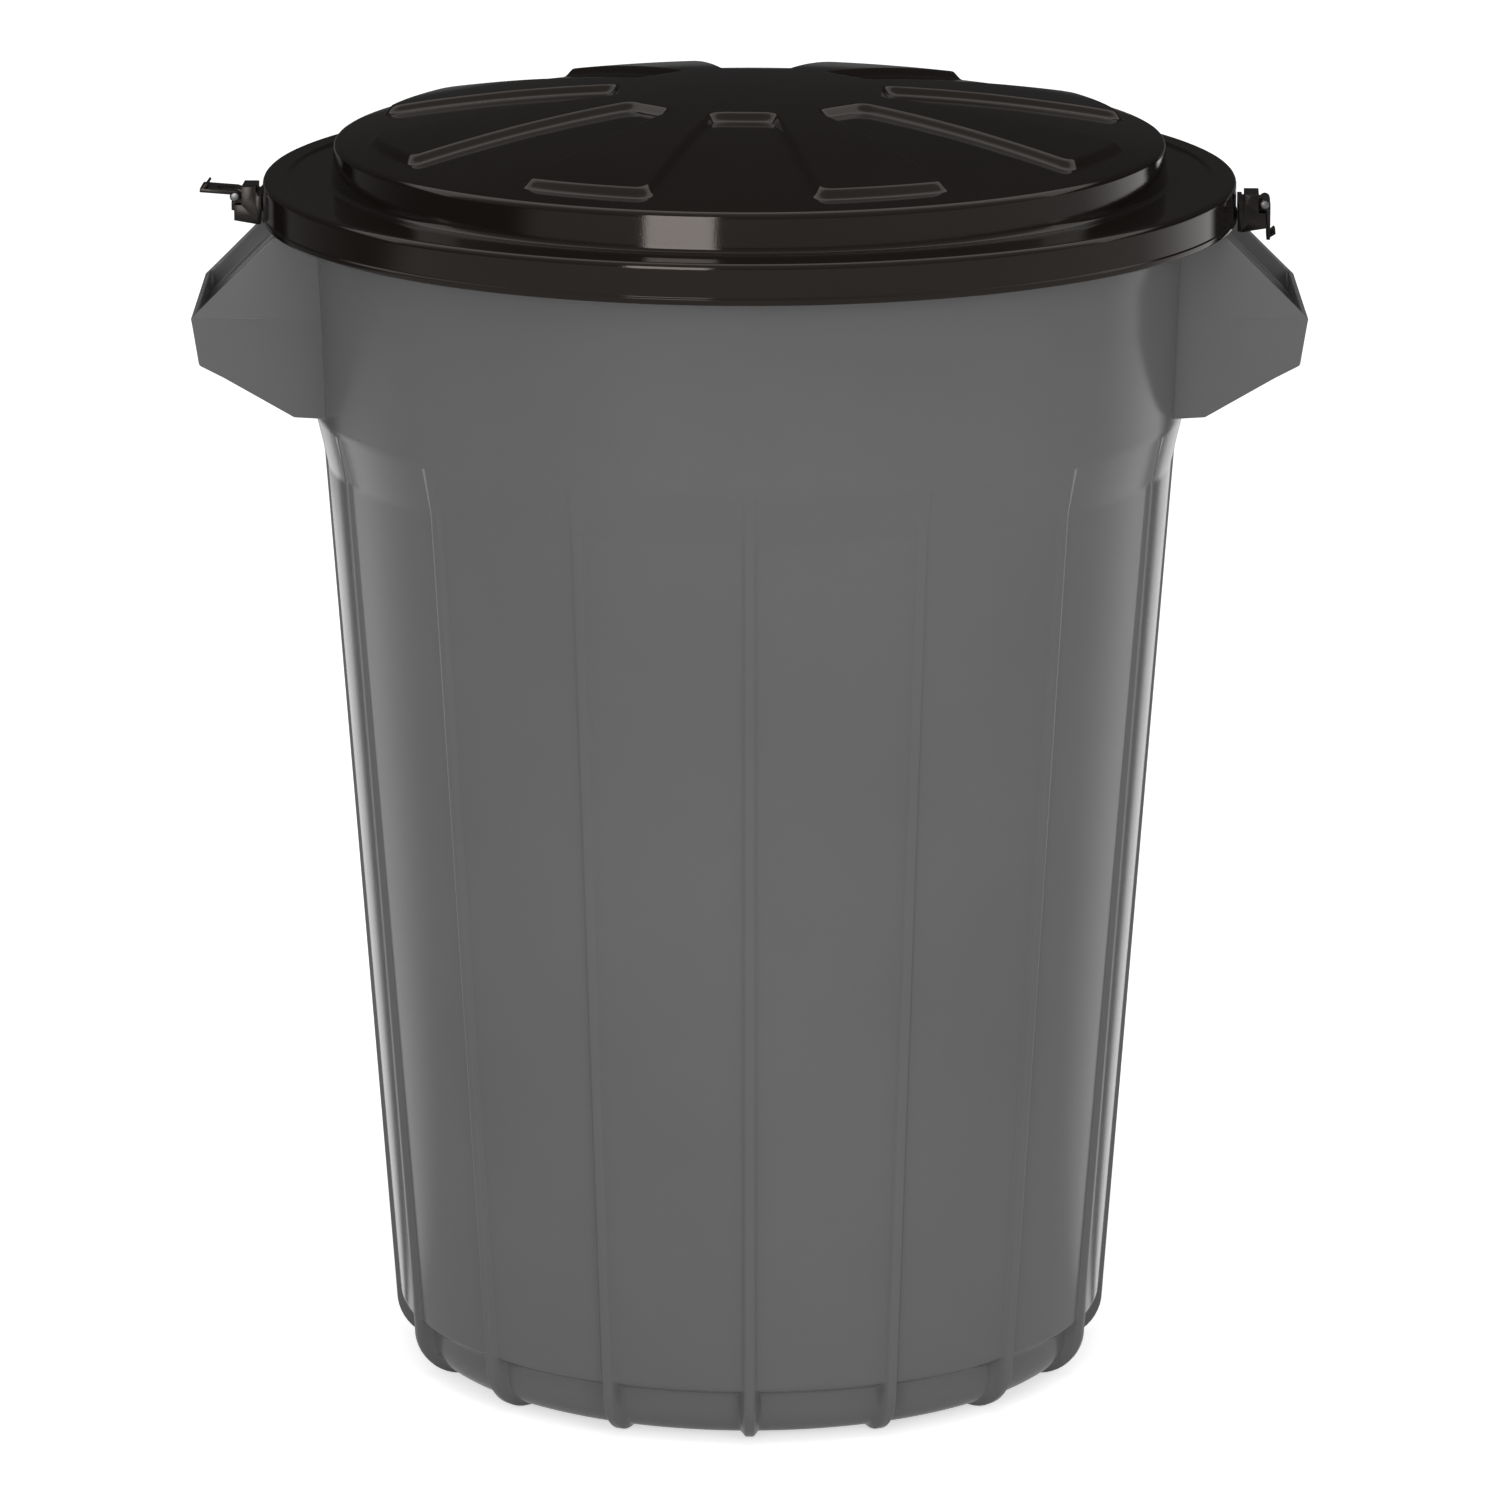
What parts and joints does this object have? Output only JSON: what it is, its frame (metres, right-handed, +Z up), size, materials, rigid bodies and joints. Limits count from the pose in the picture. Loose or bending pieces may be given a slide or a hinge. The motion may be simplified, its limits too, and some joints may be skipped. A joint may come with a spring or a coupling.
{
  "type": "trash can with lid",
  "caption": "Round tapered plastic bin with vertical ribs and hollow wedge handles, and a domed lift-off lid with swinging clips at its rim.",
  "frame": {"origin": "on the ground under the middle of the bin", "axes": "+Z up, +X towards the right-hand handle, -Y towards the front"},
  "size_m": [0.637, 0.5616, 0.7541],
  "materials": {
    "barrel_plastic": "satin moulded polyethylene, neutral mid grey",
    "lid_plastic": "glossy moulded plastic, slightly warm black",
    "clip_plastic": "semi-gloss moulded plastic, black",
    "pin_steel": "plain drawn steel wire"
  },
  "bodies": {
    "barrel": {"barrel": "barrel_plastic"},
    "lid": {"lid": "lid_plastic", "left_clip_housing": "clip_plastic", "left_clip_pin": "pin_steel", "right_clip_housing": "clip_plastic", "right_clip_pin": "pin_steel"},
    "left_tongue": {"left_clip_tongue": "clip_plastic"},
    "right_tongue": {"right_clip_tongue": "clip_plastic"}
  },
  "joints": [
    {"name": "lid_lift", "type": "slide", "parent": "barrel", "child": "lid", "axis": [0, 0, 1], "range_m": [0, 0.15]},
    {"name": "left_tongue_swing", "type": "hinge", "parent": "lid", "child": "left_tongue", "pos_m": [-0.29622, 0.01293, 0.689], "axis": [-0.0436, -0.999, 0], "range_deg": [0, 94]},
    {"name": "right_tongue_swing", "type": "hinge", "parent": "lid", "child": "right_tongue", "pos_m": [0.29622, -0.01293, 0.689], "axis": [-0.0436, -0.999, 0], "range_deg": [0, 94]}
  ]
}
